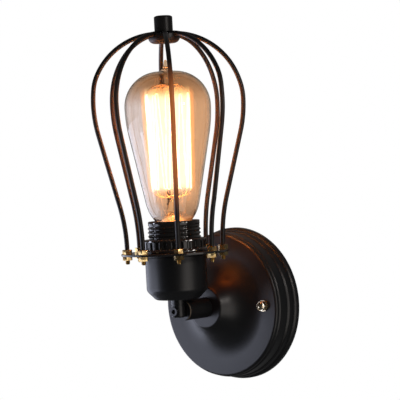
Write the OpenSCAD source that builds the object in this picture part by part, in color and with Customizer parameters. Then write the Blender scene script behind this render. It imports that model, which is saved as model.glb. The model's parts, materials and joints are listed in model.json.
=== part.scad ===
// Cage wall light: a stepped round canopy, a short arm with a swivel block,
// a cupped lampholder, a tapered screw-in bulb and a cage of eight bent wires.
// Wall plane at y = 0, room on the -Y side, arm axis along Y through the origin.

/* [Canopy] */
// Diameter of the canopy at the wall
canopy_d = 116; // [110:1:124]
// Height of the boss face above the wall
canopy_h = 41.5; // [39:0.5:46]
// Thickness of the spun shell
canopy_t = 1.2; // [1:0.1:1.4]
// Distance of each stud from the arm axis
stud_x = 42; // [41.5:0.5:44]

/* [Arm] */
// Distance from the wall to the lamp axis
reach = 71.5; // [71:0.5:80]
// Diameter of the arm tube
arm_d = 15.2; // [14.6:0.1:16]

/* [Cup and lampholder] */
// Outer diameter of the cup
cup_d = 45.4; // [44:0.2:47]
// Height of the cup's flat bottom above the arm axis
cup_z = 9; // [8.6:0.1:9.6]
// Diameter over the threads of the holder sleeve
sleeve_d = 39.5; // [39:0.1:40]
// Teeth round the shade ring
ring_teeth = 24; // [16:2:32]

/* [Cage] */
// Number of cage wires
wire_n = 8; // [6:1:8]
// Diameter of a cage wire
wire_d = 3.5; // [3:0.1:3.6]
// Pitch circle of the wires in the cage plate
wire_pcd = 71.2; // [70:0.2:72.4]
// Widest radius of the cage, at the wire centre
cage_r = 56; // [54.5:0.1:57]
// Height of the widest ring of the cage
cage_z = 155.5; // [154:0.5:158]
// Diameter of the cage plate
plate_d = 80; // [79:0.5:82]
// Thickness of the cage plate
plate_t = 1.5; // [1:0.1:1.5]

/* [Bulb] */
// Largest diameter of the glass
bulb_d = 64; // [62:0.5:66]
// Hairpins in the filament
hairpins = 9; // [6:1:10]

/* [Hidden] */
$fn = 72;
e = 0.01;                               // overshoot of a cut past a face

// colours
black_paint = "#1b1c1e";
brass = "#c39a4a";
zinc = "#a9abad";
phenolic = "#141312";
ceramic = "#e8e3d8";
amber = [0.85, 0.55, 0.25, 0.35];

// canopy tiers from the wall outwards, as radius, height and roundness of the shoulder
tier_r = [canopy_d/2, canopy_d/2 - 1.8, canopy_d/2 - 3, canopy_d/2 - 3.8];
tier_h = [5.4, 11.2, 20, 22.8];
tier_f = [1.9, 1.9, 1.6, 1.6];
face_h = tier_h[3];
bell_r0 = 36.5;                         // where the flat front turns into the bell
bell_R = 18;
bell_turn = 59;
boss_r = 15.8;
stud_r = 2;
bracket_t = 1.6;
bracket_l = 100;
bracket_w = 18;
slot_x = 28;
slot_r = 2.3;
slot_l = 14;

// arm and its joint, as distances from the wall
arm_r = arm_d/2;
nipple_r = 5;
bore_r = 3.8;
tube_r = 5.6;
arm_front = reach - 5.5;
washer_t = 0.4;
joint_face = arm_front + washer_t;      // where the swivel block turns on the washer
flange_t = 1.2;
barrel_r = 5;
barrel_z0 = -4.6;
barrel_z1 = 4.2;
spigot_gap = 0.08;
spigot_l = 2;
bar_y0 = 54;
bar_y1 = 60;
bar_w = 5.6;
pivot_r = 2;
head_r = 3.5;
head_seat = reach + 1.8;
head_t = 4;
lead_r = 0.8;
lead_z = 4.2;
neck_r = 4;
neck_bore_r = 2.6;

// lampholder levels above the arm axis
cup_r = cup_d/2;
cup_t = 1.2;
cup_floor = 1.5;
cup_h = 33.9;
plate_z = cup_z + cup_h;
plate_top = plate_z + plate_t;
base_z = 13.5;
base_top = 34;
insert_z = 28;
insert_top = 38.5;
sleeve_r = sleeve_d/2;
sleeve_in = 17.3;
sleeve_top = 67.3;
thread_z0 = 44.7;
thread_pitch = 2.4;
thread_n = 8;
thread_end = thread_z0 + thread_n*thread_pitch;
thread_t = 1.05;
ring_r = 23.1;
ring_h = 9.6;
ring_flange_r = 26.5;
ring_flange_t = 2.4;
shell_r = 13.45;
shell_top = 66;

// cage
wire_r = wire_d/2;
pin_r = wire_pcd/2;
nut_af = 6.5;
nut_t = 3.2;
wire_foot = plate_z - 6.2;
foot_R = 135;
lean = 14.8;
hip_R = 95;
top_R = cage_r - 5.7;
hub_r = 5;
wire_top = cage_z + top_R;
disc_r = 11.8;
disc_z = wire_top - 7.2;
knob_r = 6.85;
knob_z = wire_top + 1.2;
knob_top = wire_top + 13.4;

// bulb levels
bulb_r = bulb_d/2;
contact_z = 40.5;
cap_z = 46.2;
cap_top = 66.5;
cap_r = 13.1;
belly_z = 152;
belly_R = 26;
crown_z = belly_z + belly_R;
side_R = 110;
side_turn = 11.3;
skirt_z = 82;
pip_z = 186.5;
glass_t = 0.8;
// hooks that hold the filament, and the beads on the stem that hold the hooks
hook_top_z = 161;
hook_low_z = 91;
hook_top_r = 16.4;
hook_low_r = 14.2;
bead_top_z = 168;
bead_low_z = 85;
hook_wire_r = 0.25;
rod_r = 1.2;

// ---------- helpers ----------
function arc(c, R, a0, a1, n = 8) =
    [for (i = [0:n]) let (a = a0 + (a1 - a0)*i/n) c + R*[cos(a), sin(a)]];
function bezier(p, n = 10) =
    [for (i = [0:n]) let (t = i/n, s = 1 - t)
        s*s*s*p[0] + 3*s*s*t*p[1] + 3*s*t*t*p[2] + t*t*t*p[3]];
function unit(v) = v/norm(v);
function ahead(p, i) = p[min(i + 1, len(p) - 1)] - p[max(i - 1, 0)];
// moves each point of an outline sideways by t, to its left for a positive t
function inset(p, t) = [for (i = [0:len(p) - 1]) let (d = unit(ahead(p, i))) p[i] + t*[-d[1], d[0]]];
function backwards(p) = [for (i = [len(p) - 1:-1:0]) p[i]];

// turns a revolved or extruded shape so that its own z runs from the wall into the room
module from_wall() rotate([90, 0, 0]) children();
module at_lamp() translate([0, -reach, 0]) children();
module ring(r_out, r_in, h) difference() {
    cylinder(r = r_out, h = h);
    translate([0, 0, -e]) cylinder(r = r_in, h = h + 2*e);
}
module hex(af, h) cylinder(d = af/cos(30), h = h, $fn = 6);
// a hexagon nut whose upper corners are broken by a shallow cone
module hex_nut(af, r, h) difference() {
    intersection() {
        hex(af, h);
        cylinder(r1 = af/2 + 1.7*h, r2 = af/2, h = h);
    }
    translate([0, 0, -e]) cylinder(r = r, h = h + 2*e);
}
// a round-sided tube through points; side gives one vector square to the path at each point
module tube_along(p, side, r, sides = 6) {
    n = len(p);
    rings = [for (i = [0:n - 1])
        let (d = unit(ahead(p, i)), u = unit(side[i] - (side[i]*d)*d), v = cross(d, u))
        for (j = [0:sides - 1]) p[i] + r*(cos(360*j/sides)*u + sin(360*j/sides)*v)];
    walls = [for (i = [0:n - 2], j = [0:sides - 1]) let (k = (j + 1) % sides, a = i*sides)
        each [[a + j, a + k, a + sides + k], [a + j, a + sides + k, a + sides + j]]];
    last = (n - 1)*sides;
    ends = [for (j = [1:sides - 2]) each [[0, j + 1, j], [last, last + j, last + j + 1]]];
    polyhedron(rings, [for (f = concat(walls, ends)) [f[0], f[2], f[1]]]);
}

// ---------- wall side ----------
module slot(r, l, h) {
    for (s = [-1, 1]) translate([s*(l/2 - r), 0, 0]) cylinder(r = r, h = h);
    translate([-(l/2 - r), -r, 0]) cube([l - 2*r, 2*r, h]);
}
module mounting_bracket() color(zinc) from_wall() difference() {
    slot(bracket_w/2, bracket_l, bracket_t);
    for (s = [-1, 1]) {
        translate([s*slot_x, 0, -e]) slot(slot_r, slot_l, bracket_t + 2*e);
        translate([s*stud_x, 0, -e]) cylinder(r = stud_r, h = bracket_t + 2*e);
    }
    translate([17, 0, -e]) cylinder(r = 1.6, h = bracket_t + 2*e);
}
module bracket_studs() color(zinc) from_wall() for (s = [-1, 1]) translate([s*stud_x, 0, 0])
    cylinder(r = stud_r, h = face_h + 3.4);
module earth_screw() color(brass) from_wall() translate([17, 0, 0]) {
    translate([0, 0, 0.2]) cylinder(r = 1.6, h = bracket_t + 1);
    translate([0, 0, bracket_t + 0.8]) difference() {
        cylinder(r = 3, h = 2);
        translate([-0.4, -4, 1.2]) cube([0.8, 8, 1]);
    }
}
module earth_tag() color(zinc) from_wall() translate([17, 0, bracket_t]) difference() {
    union() {
        cylinder(r = 3.4, h = 0.8);
        translate([-1.5, 0, 0]) cube([3, 10, 0.8]);
    }
    translate([0, 0, -e]) cylinder(r = 1.6, h = 1);
}
pole_x = 8;
block_h = 12;
module terminal_block() color(ceramic) from_wall() translate([0, 0, bracket_t]) difference() {
    union() {
        translate([-13, -8.5, 0]) cube([26, 17, block_h - 3]);
        for (i = [-1:1]) translate([pole_x*i - 3.4, -7.5, 0]) cube([6.8, 15, block_h]);
    }
    for (i = [-1:1]) {
        translate([pole_x*i, 10, 5]) rotate([90, 0, 0]) cylinder(r = 1.5, h = 20);
        for (s = [-1, 1]) translate([pole_x*i, s*4, 5]) cylinder(r = 1.7, h = block_h);
    }
}
module terminal_screws() color(brass) from_wall() for (i = [-1:1], s = [-1, 1])
    translate([pole_x*i, s*4, bracket_t + 6.5]) difference() {
        cylinder(r = 1.7, h = 4);
        translate([-0.3, -3, 3.2]) cube([0.6, 6, 1]);
    }

// outline of the canopy, as radius and distance from the wall
// each shoulder turns as far as the next tier's wall, and the last one on to the flat front
function shoulder_turn(k) = k == 3 ? 90 : acos((tier_f[k] - tier_r[k] + tier_r[k + 1])/tier_f[k]);
canopy_outline = concat([[tier_r[0], 0]],
    [for (k = [0:3]) let (f = tier_f[k]) each arc([tier_r[k] - f, tier_h[k] - f], f, 0, shoulder_turn(k), 5)],
    arc([bell_r0, face_h + bell_R], bell_R, 270, 270 - bell_turn, 8),
    arc([boss_r - 1, canopy_h - 1], 1, 90 - bell_turn, 90, 3));
module canopy() color(black_paint) from_wall() difference() {
    rotate_extrude($fn = 144) polygon(concat(canopy_outline, [[nipple_r + 0.1, canopy_h]],
        [[nipple_r + 0.1, canopy_h - canopy_t]],
        backwards([for (q = inset(canopy_outline, canopy_t)) [q[0], min(q[1], canopy_h - canopy_t)]])));
    for (s = [-1, 1]) translate([s*stud_x, 0, 10]) cylinder(r = stud_r + 0.3, h = 20);
}
cap_nut_r = 4.2;
module canopy_cap_nuts() color(brass) from_wall() for (s = [-1, 1]) translate([s*stud_x, 0, face_h])
    difference() {
        union() {
            cylinder(r = cap_nut_r, h = 1);
            translate([0, 0, 1]) intersection() {
                hex(7, 3);
                cylinder(r1 = 4.6, r2 = 3.4, h = 3);
            }
            translate([0, 0, 2.4]) intersection() {
                sphere(r = 3.5);
                cylinder(r = 4, h = 4);
            }
        }
        translate([0, 0, -e]) cylinder(r = stud_r, h = 3.7);
    }

module arm() color(black_paint) from_wall() difference() {
    union() {
        translate([0, 0, 34]) cylinder(r = nipple_r, h = 10);
        translate([0, 0, canopy_h]) cylinder(r = arm_r, h = arm_front - canopy_h);
    }
    translate([0, 0, 33]) cylinder(r = bore_r, h = 15);
    difference() {
        translate([0, 0, canopy_h + 3.5]) cylinder(r = tube_r, h = 40);
        translate([-bar_w/2, -10, bar_y0]) cube([bar_w, 20, bar_y1 - bar_y0]);
    }
    translate([0, 0, bar_y0 - 1]) cylinder(r = pivot_r, h = bar_y1 - bar_y0 + 2);
}
module arm_star_washer() color(zinc) from_wall() translate([0, 0, canopy_h - canopy_t - 0.8]) difference() {
    cylinder(r = 8.5, h = 0.8);
    translate([0, 0, -e]) cylinder(r = nipple_r, h = 1);
    for (i = [0:11]) rotate(30*i) translate([7.2, -0.6, -e]) cube([3, 1.2, 1]);
}
module arm_locknut() color(zinc) from_wall() translate([0, 0, canopy_h - canopy_t - 3.8])
    hex_nut(14, nipple_r, 3);

// leads, as points in x, distance from the wall and height
module lead(p, r = lead_r) tube_along([for (q = p) [q[0], -q[1], q[2]]], [for (q = p) [1, 0, 0]], r);
module feed_leads() color("#ddd6c8") for (s = [-1, 1]) lead(concat(
    [[s*pole_x, bracket_t + 5, 2]],
    bezier([[s*pole_x, bracket_t + 5, 8], [s*pole_x, bracket_t + 5, 20], [s*4, 24, 10], [s*1.6, 34, 0]], 12),
    [[s*1.8, 44, 0]],
    bezier([[s*1.8, 46, 0], [s*2.2, 49, 0], [s*4.2, 50, 0], [s*4.2, 53, 0]], 5),
    [[s*4.2, 62, 0]]));
module earth_lead() color("#6f8f4a") tube_along(
    [for (q = concat([[17, bracket_t + 1.7, 7]],
        bezier([[17, bracket_t + 1.7, 10], [17, 5, 18], [0, bracket_t + 5, 20], [0, bracket_t + 5, 9]], 12),
        [[0, bracket_t + 5, 2]])) [q[0], -q[1], q[2]]], [for (i = [0:14]) [0, 1, 0]], 0.9);
module pivot_washer() color("#6a5a48") from_wall() translate([0, 0, arm_front])
    ring(arm_r - 0.1, tube_r, washer_t);
module pivot_screw() color(black_paint) from_wall() {
    translate([0, 0, bar_y0]) cylinder(r = pivot_r, h = head_seat - bar_y0);
    translate([0, 0, head_seat]) difference() {
        cylinder(r = head_r, h = head_t);
        translate([0, 0, 1.8]) hex(3, 3);
    }
}

// ---------- lamp head ----------
module swivel_block() color(black_paint) difference() {
    union() {
        at_lamp() {
            translate([0, 0, barrel_z0]) cylinder(r1 = barrel_r - 0.8, r2 = barrel_r, h = 0.8);
            translate([0, 0, barrel_z0 + 0.8]) cylinder(r = barrel_r, h = barrel_z1 - barrel_z0 - 0.8);
            translate([0, 0, barrel_z1]) cylinder(r = barrel_r - 0.4, h = 0.5);
            translate([0, 0, barrel_z1 + 0.5]) cylinder(r = barrel_r, h = cup_z - barrel_z1 - 0.5);
            translate([0, 0, cup_z]) cylinder(r = neck_r, h = 9.5);
        }
        from_wall() translate([0, 0, joint_face]) cylinder(r = arm_r, h = flange_t);
        from_wall() translate([0, 0, joint_face - spigot_l])
            cylinder(r = tube_r - spigot_gap, h = spigot_l + 1);
    }
    from_wall() translate([0, 0, joint_face - spigot_l - 1]) cylinder(r = pivot_r + 0.15, h = 20);
    from_wall() translate([0, 0, head_seat]) cylinder(r = head_r + 0.15, h = 10);
    at_lamp() translate([0, 0, lead_z - 0.3]) cylinder(r = neck_bore_r, h = 30);
    from_wall() translate([0, lead_z, joint_face - spigot_l - 1])
        slot(1.2, 4.6, reach - joint_face + spigot_l + 1);
}
cup_outline = concat([[neck_r + 0.1, 0]], bezier([[14.4, 0], [16.4, 0.1], [17.4, 1.6], [18.6, 2.8]], 4),
    bezier([[18.9, 3.1], [21.6, 5.8], [cup_r, 6.6], [cup_r, 9]], 5), [[cup_r, cup_h]]);
module lamp_cup() color(black_paint) at_lamp() translate([0, 0, cup_z]) rotate_extrude($fn = 96)
    polygon(concat(cup_outline, [[cup_r - cup_t, cup_h]],
        backwards([for (q = inset([for (i = [1:len(cup_outline) - 2]) cup_outline[i]], cup_t))
            [q[0], max(q[1], cup_floor)]]), [[neck_r + 0.1, cup_floor]]));
module cup_locknut() color(zinc) at_lamp() translate([0, 0, cup_z + cup_floor])
    hex_nut(13, neck_r, base_z - cup_z - cup_floor);
module head_leads() color("#ddd6c8") for (s = [-1, 1]) lead(concat(
    [[s*0.9, reach - 6.5, lead_z]],
    [for (q = arc([reach - 2.8, lead_z + 2], 2, 270, 360, 4)) [s*0.9, q[0], q[1]]],
    [[s*0.9, reach - 0.8, 18]],
    bezier([[s*0.9, reach - 0.8, 19], [s*1.5, reach, 22], [s*8, reach, 21], [s*8, reach, insert_z]], 6),
    [[s*8, reach, insert_z + 4]]));
module holder_base() color(phenolic) at_lamp() difference() {
    union() {
        translate([0, 0, base_z]) cylinder(r1 = 15, r2 = sleeve_r - 0.25, h = 4);
        translate([0, 0, base_z + 4]) cylinder(r = sleeve_r - 0.25, h = base_top - base_z - 4);
        translate([0, 0, base_top]) cylinder(r = sleeve_in - 0.02, h = 3);
    }
    translate([0, 0, base_z - e]) cylinder(r = neck_r + 0.1, h = 10);
    translate([0, 0, base_z + 5]) cylinder(r = 15.6, h = 30);
}
module holder_insert() color(ceramic) at_lamp() difference() {
    union() {
        translate([0, 0, insert_z]) cylinder(r = 15.5, h = insert_top - insert_z);
        translate([0, 0, 37]) cylinder(r = sleeve_in - 0.02, h = insert_top - 37);
    }
    for (s = [-1, 1]) translate([s*8, 0, insert_z - e]) cylinder(r = 2, h = 6);
}
module screw_shell() color(zinc) at_lamp() translate([0, 0, insert_top]) difference() {
    cylinder(r = shell_r + 0.5, h = shell_top - insert_top);
    translate([0, 0, 0.6]) cylinder(r = shell_r, h = 40);
    translate([0, 0, -1]) cylinder(r = 8, h = 3);
}
module centre_contact() color(brass) at_lamp() {
    translate([-6, -2.5, insert_top]) cube([9, 5, 0.5]);
    translate([-2.5, -2.5, insert_top + 0.5]) cube([5, 5, contact_z - insert_top - 0.5]);
}
// the coarse thread that the shade ring screws on, as a ridge for each turn, below a plain collar
module holder_sleeve() color(phenolic) at_lamp() rotate_extrude($fn = 96) polygon(concat(
    [[sleeve_in, base_top], [sleeve_r, base_top], [sleeve_r, thread_z0]],
    [for (i = [0:thread_n - 1], q = [[-thread_t, 0.7], [-thread_t, 1.1], [0, 1.9], [0, 2.4]])
        [sleeve_r + q[0], thread_z0 + i*thread_pitch + q[1]]],
    [[sleeve_r - thread_t, thread_end + 0.3], [sleeve_r - 0.6, thread_end + 0.5],
        [sleeve_r - 0.6, sleeve_top], [sleeve_in, sleeve_top]]));
// a flange that clamps the plate, and above it a barrel with finger notches
module shade_ring() color(phenolic) at_lamp() translate([0, 0, plate_top]) difference() {
    union() {
        cylinder(r = ring_flange_r, h = ring_flange_t - 1);
        translate([0, 0, ring_flange_t - 1]) cylinder(r1 = ring_flange_r, r2 = ring_flange_r - 1.4, h = 1);
        cylinder(r = ring_r, h = ring_h - 1);
        translate([0, 0, ring_h - 1]) cylinder(r1 = ring_r, r2 = ring_r - 1, h = 1);
    }
    translate([0, 0, -e]) cylinder(r = sleeve_r, h = ring_h + 1);
    for (i = [0:ring_teeth - 1]) rotate(360*(i + 0.5)/ring_teeth)
        translate([ring_r - 1.3, -1.3, ring_flange_t]) cube([3, 2.6, ring_h - ring_flange_t - 1.8]);
}
module cage_plate() color(black_paint) at_lamp() translate([0, 0, plate_z]) difference() {
    cylinder(d = plate_d, h = plate_t, $fn = 96);
    translate([0, 0, -e]) cylinder(r = sleeve_r + 0.1, h = 3);
    for (k = [0:wire_n - 1]) rotate(360*k/wire_n) translate([0, -pin_r, -e]) cylinder(r = wire_r, h = 3);
}

// a wire leaves the plate upright, leans out, swings round its widest point and ends on the hub
hip_z = cage_z - hip_R*sin(lean);
hip_x = cage_r - hip_R*(1 - cos(lean));
foot_x = pin_r + foot_R*(1 - cos(lean));
foot_z = hip_z - (hip_x - foot_x)/tan(lean);
foot_z0 = foot_z - foot_R*sin(lean);
module bend(c, R, a0, a1, r = wire_r) translate([c[0], 0, c[1]]) rotate([90, 0, 0])
    rotate_extrude(angle = a1 - a0, start = a0, $fn = 96) translate([R, 0]) circle(r = r, $fn = 24);
// each stretch stops just short of the next, and a ball a hair wider than the wire joins the two
knit_gap = 0.1;
knit_r = wire_r + 0.04;
module bow(c, R, a0, a1) let (g = asin(knit_gap/R)) bend(c, R, a0 + g, a1 - g);
module wire_shape() {
    translate([pin_r, 0, wire_foot]) cylinder(r = wire_r, h = foot_z0 - wire_foot - knit_gap, $fn = 24);
    bow([pin_r + foot_R, foot_z0], foot_R, 180 - lean, 180);
    translate([foot_x, 0, foot_z]) rotate([0, lean, 0]) translate([0, 0, knit_gap])
        cylinder(r = wire_r, h = (hip_z - foot_z)/cos(lean) - 2*knit_gap, $fn = 24);
    bow([cage_r - hip_R, cage_z], hip_R, -lean, 0);
    bow([cage_r - top_R, cage_z], top_R, 0, 90);
    for (q = [[pin_r, foot_z0], [foot_x, foot_z], [hip_x, hip_z], [cage_r, cage_z]])
        translate([q[0], 0, q[1]]) sphere(r = knit_r, $fn = 32);
}
module cage_wire(k) color(black_paint) at_lamp() rotate(360*k/wire_n - 90) wire_shape();
// each nut stops at its own angle when it is tight
module nut_circle(z, turn) at_lamp() for (k = [0:wire_n - 1]) rotate(360*k/wire_n)
    translate([0, -pin_r, z]) rotate(turn*k) hex_nut(nut_af, wire_r, nut_t);
module cage_upper_nuts() color(brass) nut_circle(plate_top, 23);
module cage_lower_nuts() color(brass) nut_circle(plate_z - nut_t, 41);
module wire_tops() for (k = [0:wire_n - 1]) rotate(360*k/wire_n - 90) {
    bend([cage_r - top_R, cage_z], top_R, 60, 90, knit_r);
    translate([0, 0, wire_top]) rotate([0, 90, 0]) cylinder(r = knit_r, h = cage_r - top_R, $fn = 24);
}
module finial_disc() color(black_paint) at_lamp() difference() {
    translate([0, 0, disc_z]) rotate_extrude() polygon(concat([[0, 0], [7.6, 0]],
        bezier([[7.6, 0], [9.6, 0.1], [disc_r, 2], [disc_r, 4.6]], 5),
        [[disc_r, wire_top - disc_z], [0, wire_top - disc_z]]));
    wire_tops();
    translate([0, 0, disc_z + 2]) cylinder(r = 2.5, h = 10);
}
module finial_stud() color(zinc) at_lamp() translate([0, 0, disc_z + 2]) cylinder(r = 2.5, h = 13);
module finial_knob() color(black_paint) at_lamp() difference() {
    translate([0, 0, knob_z]) union() {
        cylinder(r = knob_r, h = knob_top - knob_z - 1.2);
        translate([0, 0, knob_top - knob_z - 1.2]) cylinder(r1 = knob_r, r2 = knob_r - 1.6, h = 1.2);
    }
    wire_tops();
    translate([0, 0, disc_z]) cylinder(r = 2.5, h = 15);
}

// ---------- bulb ----------
side_z = belly_z - side_R*sin(side_turn);
side_x = bulb_r - side_R*(1 - cos(side_turn));
skirt_x = side_x - (side_z - skirt_z)*tan(side_turn);
glass_outline = concat(
    [[12.4, 63.5], [12.6, 66.5]],
    bezier([[13.3, 66.9], [15, 69], [skirt_x - 1.7, skirt_z - 9], [skirt_x, skirt_z]], 8),
    backwards(arc([bulb_r - side_R, belly_z], side_R, 0, -side_turn, 6)),
    arc([bulb_r - belly_R, belly_z], belly_R, 6, 84, 13),
    bezier([[6.6, crown_z - 0.1], [3.6, crown_z + 0.5], [2.1, crown_z + 1.9], [1.6, crown_z + 4.6]], 5),
    [[1.1, pip_z - 1.2], [0.5, pip_z - 0.2], [0, pip_z]]);
glass_inner = [for (i = [0:len(glass_outline) - 10]) inset(glass_outline, glass_t)[i]];
module bulb_glass() color(amber) at_lamp() rotate_extrude($fn = 96) polygon(concat(glass_outline,
    [[0, crown_z - glass_t]], backwards(glass_inner)));
module bulb_cap() color(zinc) at_lamp() rotate_extrude() polygon([[12, cap_z], [cap_r, cap_z + 1.6],
    [cap_r, cap_top], [cap_r - 0.4, cap_top], [cap_r - 0.4, cap_z + 1.8], [11.5, cap_z + 0.4]]);
module bulb_insulator() color(phenolic) at_lamp() translate([0, 0, 42.2])
    rotate_extrude() polygon([[0, 0], [5, 0], [11.5, cap_z - 41.8], [12.6, 6], [0, 6]]);
module bulb_contact() color(zinc) at_lamp() translate([0, 0, contact_z]) cylinder(r1 = 3.6, r2 = 4.8, h = 1.7);
module bulb_stem() color([0.9, 0.9, 0.9, 0.5]) at_lamp() rotate_extrude() polygon(concat(
    [[0, 70], [3, 69], [10.6, 64], [11.55, 64]],
    bezier([[11.55, 65.5], [8, 70], [3.6, 70], [3.4, 77]], 6),
    [[2.6, 81], [rod_r, 83], [rod_r, bead_top_z + 1], [0, bead_top_z + 1]]));
module rod(a, b, r) let (d = b - a) translate(a) rotate([0, acos(d[2]/norm(d)), atan2(d[1], d[0])])
    cylinder(r = r, h = norm(d), $fn = 8);

// the filament rises from one lead-in wire to an upper hook, drops to a lower one, and so on
// to the other lead-in wire, with the odd turns at the top
strand_n = 2*hairpins;
strand_step = 340/strand_n;
function on_circle(r, a, z) = [r*cos(a), r*sin(a), z];
filament_points = [for (i = [0:strand_n]) i % 2 == 1
    ? on_circle(hook_top_r, i*strand_step, hook_top_z) : on_circle(hook_low_r, i*strand_step, hook_low_z)];
module filament_supports() color(zinc) at_lamp() {
    translate([0, 0, bead_top_z - 1]) ring(2, rod_r, 2);
    translate([0, 0, bead_low_z - 1]) ring(2.2, rod_r, 2);
    for (i = [1:2:strand_n - 1]) rotate(i*strand_step)
        rod([1.7, 0, bead_top_z], [hook_top_r - 0.3, 0, hook_top_z + 0.6], hook_wire_r);
    for (i = [2:2:strand_n - 2]) rotate(i*strand_step)
        rod([1.9, 0, bead_low_z], [hook_low_r - 0.3, 0, hook_low_z - 0.6], hook_wire_r);
}
module lead_in_wires() color(zinc) at_lamp() for (i = [0, strand_n]) rotate(i*strand_step)
    rod([3.5, 0, 79.5], [hook_low_r - 0.4, 0, hook_low_z + 0.6], 0.3);
strand_path = [for (i = [0:strand_n - 1], t = [0.02, 0.5, 0.98])
    (1 - t)*filament_points[i] + t*filament_points[i + 1]];
module filament() color("#ffb347") at_lamp()
    tube_along(strand_path, [for (q = strand_path) [q[0], q[1], 0]], 0.3);

mounting_bracket();
bracket_studs();
earth_screw();
earth_tag();
terminal_block();
terminal_screws();
canopy();
canopy_cap_nuts();
arm();
arm_star_washer();
arm_locknut();
feed_leads();
earth_lead();
pivot_washer();
pivot_screw();
swivel_block();
lamp_cup();
cup_locknut();
head_leads();
holder_base();
holder_insert();
screw_shell();
centre_contact();
holder_sleeve();
cage_plate();
shade_ring();
cage_wire(0);  // cage_wire_1
cage_wire(1);  // cage_wire_2
cage_wire(2);  // cage_wire_3
cage_wire(3);  // cage_wire_4
cage_wire(4);  // cage_wire_5
cage_wire(5);  // cage_wire_6
cage_wire(6);  // cage_wire_7
cage_wire(7);  // cage_wire_8
cage_upper_nuts();
cage_lower_nuts();
finial_disc();
finial_stud();
finial_knob();
bulb_contact();
bulb_insulator();
bulb_cap();
bulb_glass();
bulb_stem();
filament_supports();
lead_in_wires();
filament();
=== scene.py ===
import json
import math

import bmesh
import bpy
from mathutils import Matrix, Vector


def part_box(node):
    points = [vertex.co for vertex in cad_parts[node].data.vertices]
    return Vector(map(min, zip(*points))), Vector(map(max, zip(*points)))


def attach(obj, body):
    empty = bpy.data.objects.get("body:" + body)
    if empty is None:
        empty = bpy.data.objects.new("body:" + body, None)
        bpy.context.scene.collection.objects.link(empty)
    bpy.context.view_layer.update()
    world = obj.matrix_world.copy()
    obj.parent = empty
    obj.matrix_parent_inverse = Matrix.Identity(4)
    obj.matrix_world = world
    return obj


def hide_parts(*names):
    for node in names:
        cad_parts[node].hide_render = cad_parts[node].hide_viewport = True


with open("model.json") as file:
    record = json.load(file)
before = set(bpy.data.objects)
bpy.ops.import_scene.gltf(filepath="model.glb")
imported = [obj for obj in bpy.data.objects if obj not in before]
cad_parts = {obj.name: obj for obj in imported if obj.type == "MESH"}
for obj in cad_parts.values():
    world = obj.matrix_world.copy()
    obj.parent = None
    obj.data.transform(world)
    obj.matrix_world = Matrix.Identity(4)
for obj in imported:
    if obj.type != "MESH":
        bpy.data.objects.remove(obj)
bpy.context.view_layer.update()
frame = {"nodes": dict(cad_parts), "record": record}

MM = 0.001
TURN = 2 * math.pi


# ---------- places and sizes, read from the frame, in millimetres ----------
def corners_mm(node):
    low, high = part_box(node)
    return Vector(low) / MM, Vector(high) / MM


def round_size(node):
    """Radius, foot and top of a node that is round and upright."""
    low, high = corners_mm(node)
    return (high.x - low.x) / 2, low.z, high.z


# how far the lamp's upright axis stands from the wall
REACH = -sum(corner.y for corner in corners_mm("lamp_cup")) / 2

# turned pieces are made upright on the origin, then moved to the lamp's axis or laid against the wall
AT_LAMP = Matrix.Translation((0, -REACH * MM, 0))
FROM_WALL = Matrix.Rotation(math.radians(90), 4, "X")

# ---------- camera, solved together with the sizes from edges measured in the photograph ----------
AZIMUTH = math.radians(40.37)
ELEVATION = math.radians(1.18)
ROLL = math.radians(-3.01)
DISTANCE = 1500
TARGET = Vector((0, -50, 60))
SLIDE_RIGHT = 5.19
SLIDE_UP = 21.47
LENS = 180.2
SENSOR = 36
CLIP_START = 50


def make_camera():
    """A long lens that looks at the target, slid and rolled to the photograph's frame."""
    back = Vector((math.sin(AZIMUTH) * math.cos(ELEVATION),
                   -math.cos(AZIMUTH) * math.cos(ELEVATION), math.sin(ELEVATION)))
    level_right = Vector((math.cos(AZIMUTH), math.sin(AZIMUTH), 0))
    level_up = back.cross(level_right)
    right = math.cos(ROLL) * level_right + math.sin(ROLL) * level_up
    up = back.cross(right)
    camera = bpy.data.objects.new("camera", bpy.data.cameras.new("camera"))
    camera.data.sensor_width = SENSOR
    camera.data.lens = LENS
    camera.data.clip_start = CLIP_START * MM
    place = (TARGET + DISTANCE * back + SLIDE_RIGHT * right + SLIDE_UP * up) * MM
    axes = Matrix((right, up, back)).transposed().to_4x4()
    camera.matrix_world = Matrix.Translation(place) @ axes
    bpy.context.collection.objects.link(camera)
    bpy.context.scene.camera = camera


# ---------- shader maths ----------
class Value:
    """An output socket that does arithmetic by adding Math nodes."""

    def __init__(self, finish, socket):
        self.finish, self.socket = finish, socket

    def math(self, operation, other):
        return self.finish.node("Math", {"operation": operation}, {0: self, 1: other})

    def __add__(self, other):
        return self.math("ADD", other)

    def __mul__(self, other):
        return self.math("MULTIPLY", other)

    def __sub__(self, other):
        return self.math("SUBTRACT", other)

    def __rsub__(self, other):
        return self.finish.node("Math", {"operation": "SUBTRACT"}, {0: other, 1: self})

    __radd__ = __add__
    __rmul__ = __mul__

    def between(self, low, high):
        """A smooth step from 0 at low to 1 at high; low may be the larger one."""
        return self.finish.node("MapRange", {"interpolation_type": "SMOOTHSTEP"},
                                {"Value": self, "From Min": low, "From Max": high})

    def between_mm(self, low, high):
        return self.between(low * MM, high * MM)


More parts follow.
